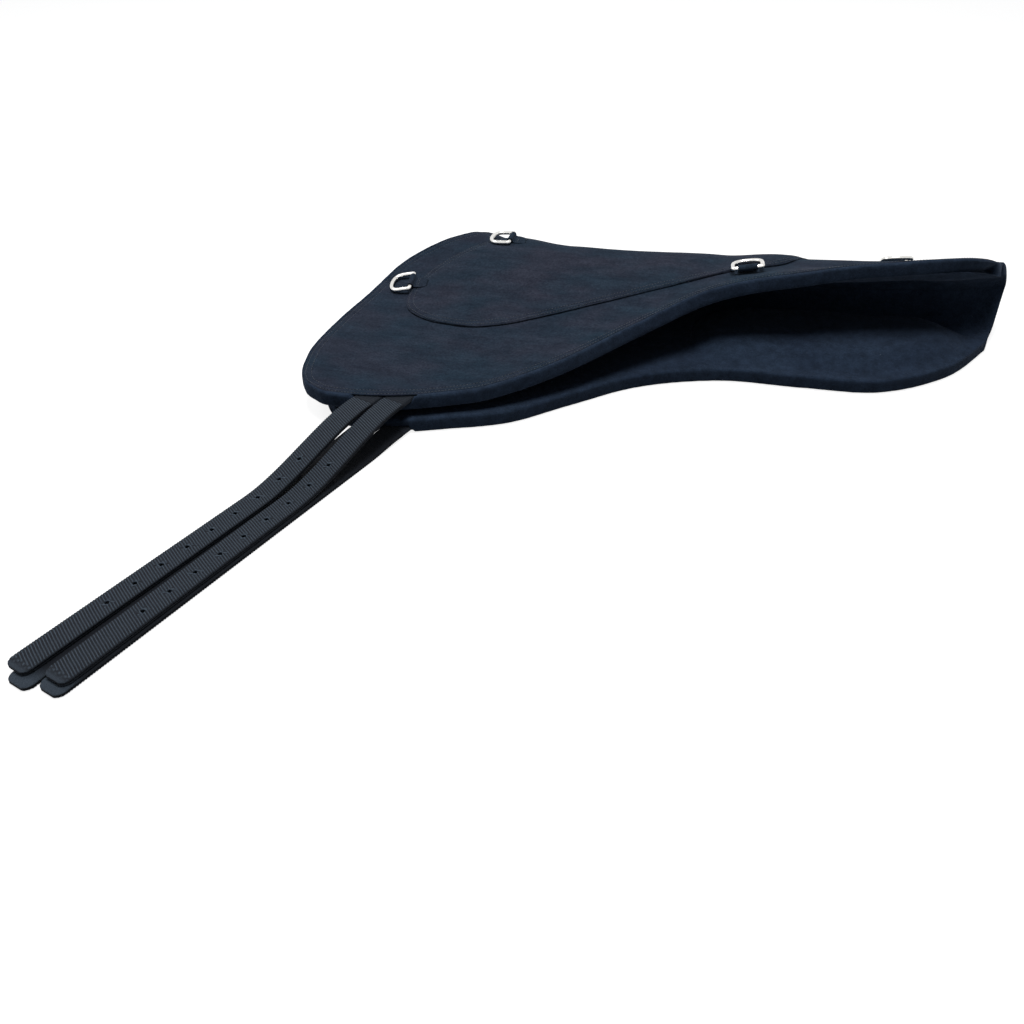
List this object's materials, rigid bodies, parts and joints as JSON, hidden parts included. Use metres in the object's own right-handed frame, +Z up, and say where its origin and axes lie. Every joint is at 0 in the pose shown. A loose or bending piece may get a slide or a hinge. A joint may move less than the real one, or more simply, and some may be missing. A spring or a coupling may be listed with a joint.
{
  "type": "bareback pad",
  "caption": "Suede-topped felt bareback pad, folded along its spine and lying on one side, with webbing girth billets and D-rings.",
  "frame": {"origin": "middle of the bounding box of all solids, on the plane that the folded pad lies on", "axes": "+X along the spine from the front (withers end) to the rear, -Y from the spine to the flaps' lower edges, +Z up; the left half lies on top of the right half"},
  "size_m": [0.7758, 0.7712, 0.1122],
  "materials": {
    "felt": "fuzzy needled felt, matte",
    "foam": "cut foam sheet, hidden",
    "suede": "napped suede, matte",
    "seat_suede": "napped suede, matte, double stitched",
    "tab_suede": "napped suede, matte",
    "webbing": "ribbed cotton webbing, matte",
    "backing_web": "smooth woven backing tape, matte",
    "nickel": "polished nickel plate"
  },
  "bodies": {
    "right_half": {"billet_anchor_front_right": "webbing", "billet_anchor_rear_right": "webbing", "felt_underlay_right": "felt", "ring_tab_front_inner_right": "tab_suede", "ring_tab_front_outer_right": "tab_suede", "ring_tab_rear_inner_right": "tab_suede", "ring_tab_rear_outer_right": "tab_suede", "seat_foam_right": "foam", "seat_panel_right": "seat_suede", "suede_cover_right": "suede"},
    "left_half": {"billet_anchor_front_left": "webbing", "billet_anchor_rear_left": "webbing", "felt_underlay_left": "felt", "ring_tab_front_inner_left": "tab_suede", "ring_tab_front_outer_left": "tab_suede", "ring_tab_rear_inner_left": "tab_suede", "ring_tab_rear_outer_left": "tab_suede", "seat_foam_left": "foam", "seat_panel_left": "seat_suede", "suede_cover_left": "suede"},
    "d_ring_front_outer_left": {"d_ring_front_outer_left": "nickel"},
    "d_ring_front_inner_left": {"d_ring_front_inner_left": "nickel"},
    "d_ring_rear_outer_left": {"d_ring_rear_outer_left": "nickel"},
    "d_ring_rear_inner_left": {"d_ring_rear_inner_left": "nickel"},
    "d_ring_front_outer_right": {"d_ring_front_outer_right": "nickel"},
    "d_ring_front_inner_right": {"d_ring_front_inner_right": "nickel"},
    "d_ring_rear_outer_right": {"d_ring_rear_outer_right": "nickel"},
    "d_ring_rear_inner_right": {"d_ring_rear_inner_right": "nickel"},
    "billet_front_left": {"billet_backing_front_left": "backing_web", "billet_web_front_left": "webbing"},
    "billet_rear_left": {"billet_backing_rear_left": "backing_web", "billet_web_rear_left": "webbing"},
    "billet_front_right": {"billet_backing_front_right": "backing_web", "billet_web_front_right": "webbing"},
    "billet_rear_right": {"billet_backing_rear_right": "backing_web", "billet_web_rear_right": "webbing"}
  },
  "joints": [
    {"name": "spine_fold", "type": "hinge", "parent": "right_half", "child": "left_half", "pos_m": [-0.21221, 0.38635, 0.033], "axis": [-0.9993, 0, -0.0366], "range_deg": [0, 80]},
    {"name": "ring_turn_front_outer_left", "type": "hinge", "parent": "left_half", "child": "d_ring_front_outer_left", "pos_m": [-0.26438, 0.2343, 0.05036], "axis": [-0.0986, 0.9864, 0.1318], "range_deg": [0, 182]},
    {"name": "ring_turn_front_inner_left", "type": "hinge", "parent": "left_half", "child": "d_ring_front_inner_left", "pos_m": [-0.17274, 0.33798, 0.06814], "axis": [0, 0.9998, -0.0223], "range_deg": [0, 178]},
    {"name": "ring_turn_rear_outer_left", "type": "hinge", "parent": "left_half", "child": "d_ring_rear_outer_left", "pos_m": [0.10473, 0.25664, 0.09639], "axis": [-0.979, -0.0979, -0.1787], "range_deg": [-183, 0]},
    {"name": "ring_turn_rear_inner_left", "type": "hinge", "parent": "left_half", "child": "d_ring_rear_inner_left", "pos_m": [0.26141, 0.34533, 0.08142], "axis": [-0.9903, -0.099, -0.0975], "range_deg": [0, 190]},
    {"name": "ring_turn_front_outer_right", "type": "hinge", "parent": "right_half", "child": "d_ring_front_outer_right", "pos_m": [-0.24414, 0.24165, 0.00393], "axis": [0.0995, -0.995, 0], "range_deg": [-13, 172]},
    {"name": "ring_turn_front_inner_right", "type": "hinge", "parent": "right_half", "child": "d_ring_front_inner_right", "pos_m": [-0.18298, 0.33549, 0.00455], "axis": [0, -1, 0], "range_deg": [-9, 171]},
    {"name": "ring_turn_rear_outer_right", "type": "hinge", "parent": "right_half", "child": "d_ring_rear_outer_right", "pos_m": [0.1283, 0.25148, 0.00443], "axis": [0.995, 0.0995, 0], "range_deg": [-175, 0]},
    {"name": "ring_turn_rear_inner_right", "type": "hinge", "parent": "right_half", "child": "d_ring_rear_inner_right", "pos_m": [0.2689, 0.29162, 0.00674], "axis": [0.995, 0.0995, 0], "range_deg": [-13, 166]},
    {"name": "billet_lift_front_left", "type": "hinge", "parent": "left_half", "child": "billet_front_left", "pos_m": [-0.24011, 0.00072, 0.03365], "axis": [-0.9373, 0.3486, 0], "range_deg": [0, 50]},
    {"name": "billet_lift_rear_left", "type": "hinge", "parent": "left_half", "child": "billet_rear_left", "pos_m": [-0.21064, 0.00637, 0.03365], "axis": [-0.9432, 0.3322, 0], "range_deg": [0, 50]},
    {"name": "billet_swing_front_right", "type": "hinge", "parent": "right_half", "child": "billet_front_right", "pos_m": [-0.23986, -0.00153, 0.0043], "axis": [0, 0, -1], "range_deg": [0, 10]},
    {"name": "billet_swing_rear_right", "type": "hinge", "parent": "right_half", "child": "billet_rear_right", "pos_m": [-0.21064, 0.00107, 0.0043], "axis": [0, 0, 1], "range_deg": [0, 10]}
  ]
}
